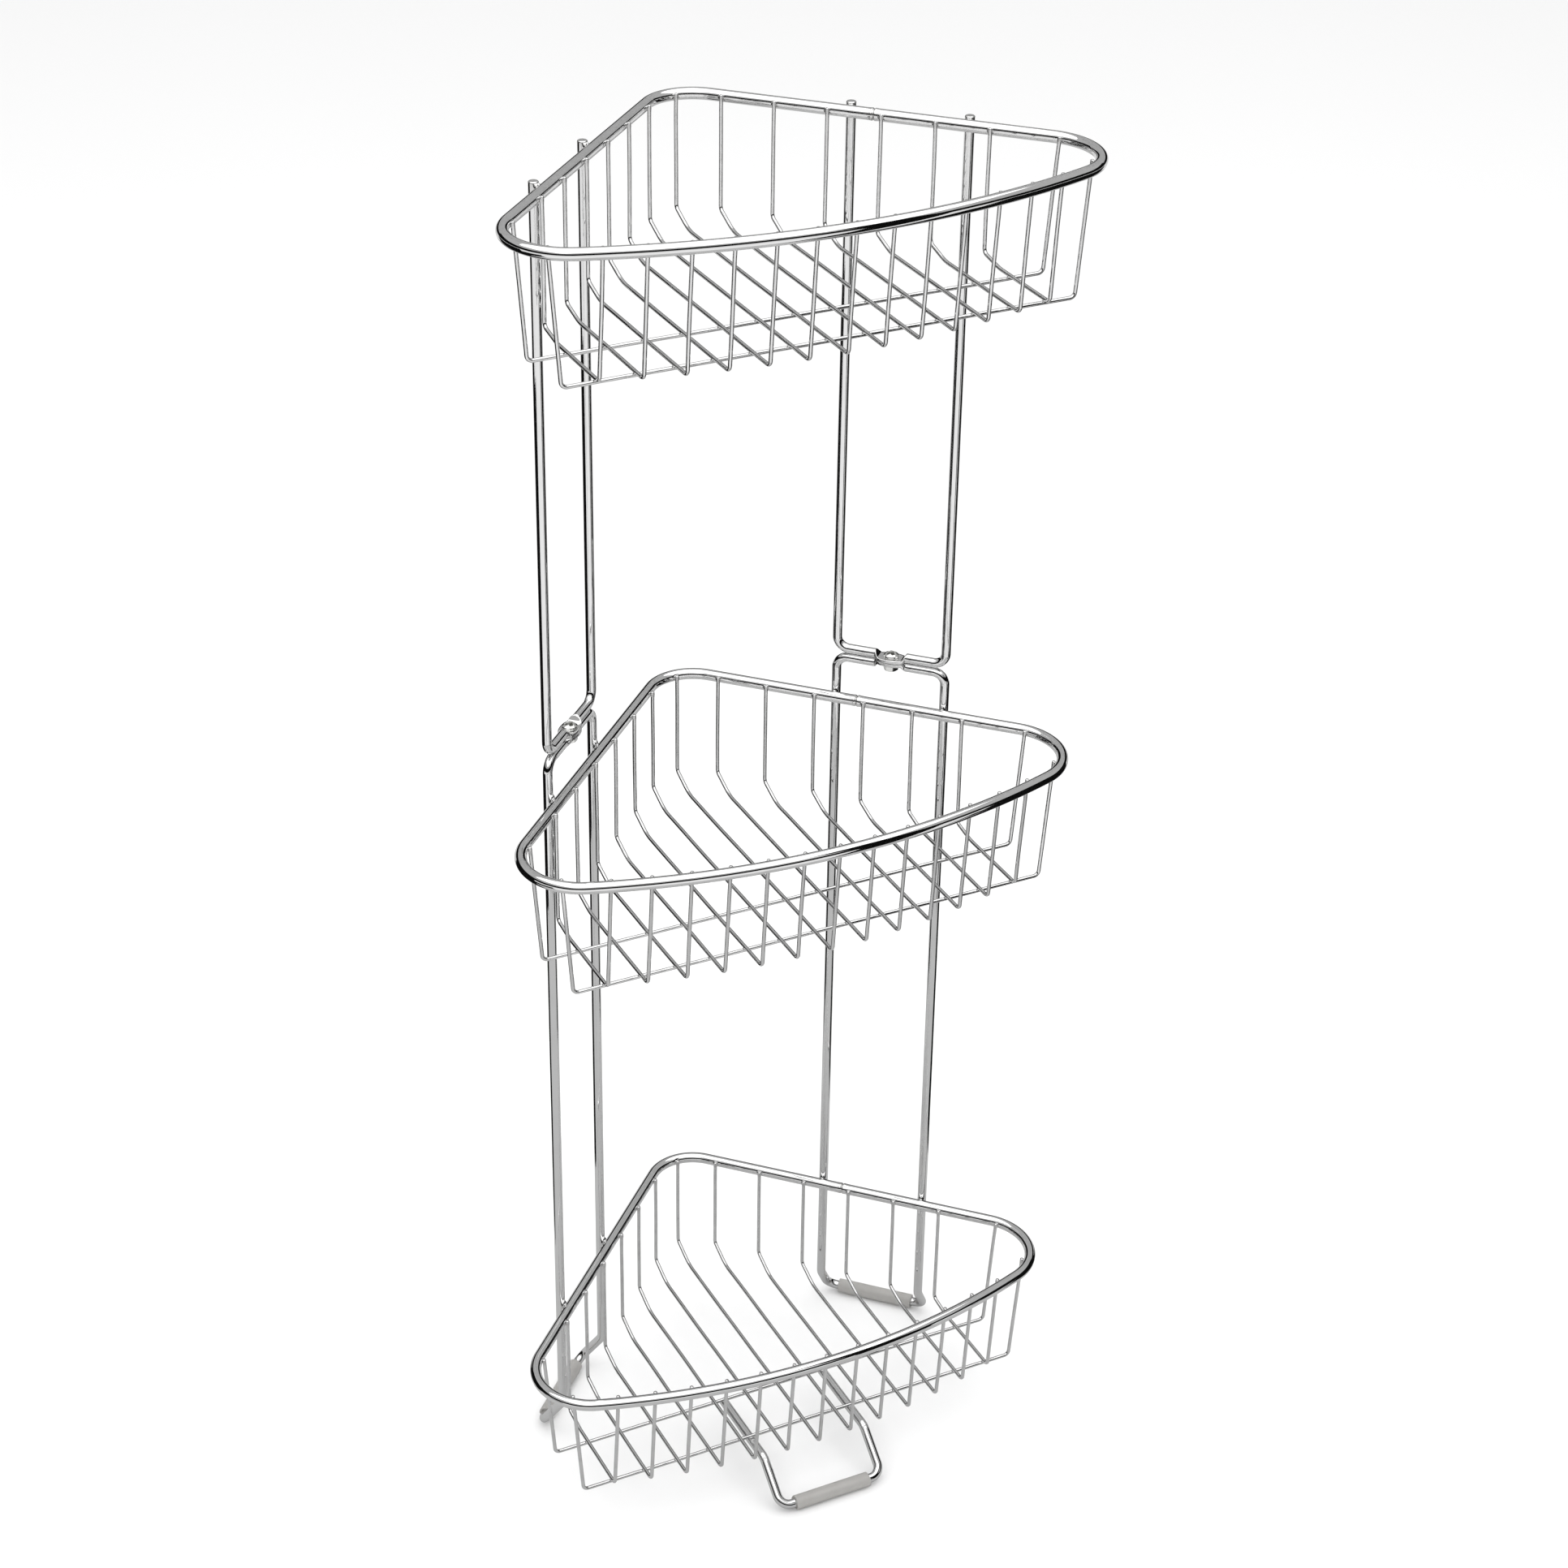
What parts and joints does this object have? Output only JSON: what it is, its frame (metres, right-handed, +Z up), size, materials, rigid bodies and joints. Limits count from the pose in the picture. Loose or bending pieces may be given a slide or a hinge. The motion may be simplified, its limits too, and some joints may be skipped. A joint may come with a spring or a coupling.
{
  "type": "shower caddy",
  "caption": "Free-standing corner shower caddy of chromed steel wire, with stacked quarter-round baskets between bolted wire frames on sleeved feet.",
  "frame": {"origin": "on the floor, under the middle of the caddy's bounding box", "axes": "+Z up, +Y into the corner of the room, +X to the right seen from the front"},
  "size_m": [0.299, 0.211, 0.7295],
  "materials": {
    "chrome_wire": "bright chrome plate",
    "zinc_hardware": "bright zinc plate",
    "clear_sleeve": "milky clear soft vinyl"
  },
  "bodies": {
    "caddy": {"bottom_rim": "chrome_wire", "middle_rim": "chrome_wire", "top_rim": "chrome_wire", "bottom_floor_wire_01": "chrome_wire", "bottom_floor_wire_02": "chrome_wire", "bottom_floor_wire_03": "chrome_wire", "bottom_floor_wire_04": "chrome_wire", "bottom_floor_wire_05": "chrome_wire", "bottom_floor_wire_06": "chrome_wire", "bottom_floor_wire_07": "chrome_wire", "bottom_floor_wire_08": "chrome_wire", "bottom_floor_wire_09": "chrome_wire", "bottom_floor_wire_10": "chrome_wire", "bottom_floor_wire_11": "chrome_wire", "bottom_floor_wire_12": "chrome_wire", "bottom_floor_wire_13": "chrome_wire", "middle_floor_wire_01": "chrome_wire", "middle_floor_wire_02": "chrome_wire", "middle_floor_wire_03": "chrome_wire", "middle_floor_wire_04": "chrome_wire", "middle_floor_wire_05": "chrome_wire", "middle_floor_wire_06": "chrome_wire", "middle_floor_wire_07": "chrome_wire", "middle_floor_wire_08": "chrome_wire", "middle_floor_wire_09": "chrome_wire", "middle_floor_wire_10": "chrome_wire", "middle_floor_wire_11": "chrome_wire", "middle_floor_wire_12": "chrome_wire", "middle_floor_wire_13": "chrome_wire", "top_floor_wire_01": "chrome_wire", "top_floor_wire_02": "chrome_wire", "top_floor_wire_03": "chrome_wire", "top_floor_wire_04": "chrome_wire", "top_floor_wire_05": "chrome_wire", "top_floor_wire_06": "chrome_wire", "top_floor_wire_07": "chrome_wire", "top_floor_wire_08": "chrome_wire", "top_floor_wire_09": "chrome_wire", "top_floor_wire_10": "chrome_wire", "top_floor_wire_11": "chrome_wire", "top_floor_wire_12": "chrome_wire", "top_floor_wire_13": "chrome_wire", "bottom_rear_cross_wire": "chrome_wire", "bottom_front_cross_wire": "chrome_wire", "middle_rear_cross_wire": "chrome_wire", "middle_front_cross_wire": "chrome_wire", "top_rear_cross_wire": "chrome_wire", "top_front_cross_wire": "chrome_wire", "left_upper_frame": "chrome_wire", "right_upper_frame": "chrome_wire", "left_lower_frame": "chrome_wire", "right_lower_frame": "chrome_wire", "front_foot": "chrome_wire", "left_sleeve": "clear_sleeve", "right_sleeve": "clear_sleeve", "front_sleeve": "clear_sleeve"},
    "left_screw": {"left_screw": "zinc_hardware"},
    "right_screw": {"right_screw": "zinc_hardware"},
    "left_nut": {"left_nut": "zinc_hardware"},
    "right_nut": {"right_nut": "zinc_hardware"}
  },
  "joints": [
    {"name": "left_screw_turn", "type": "hinge", "parent": "caddy", "child": "left_screw", "pos_m": [-0.09076, 0.02928, 0.4325], "axis": [0, 0, 1], "range_deg": [0, 1800]},
    {"name": "left_nut_run", "type": "slide", "parent": "caddy", "child": "left_nut", "axis": [0, 0, -1], "range_m": [0, 0.0035]},
    {"name": "right_screw_turn", "type": "hinge", "parent": "caddy", "child": "right_screw", "pos_m": [0.09076, 0.02928, 0.4325], "axis": [0, 0, 1], "range_deg": [0, 1800]},
    {"name": "right_nut_run", "type": "slide", "parent": "caddy", "child": "right_nut", "axis": [0, 0, -1], "range_m": [0, 0.0035]}
  ],
  "couplings": [
    {"joint": "left_screw_turn", "follows": "left_nut_run", "rad_per_m": 8976},
    {"joint": "right_screw_turn", "follows": "right_nut_run", "rad_per_m": 8976}
  ]
}
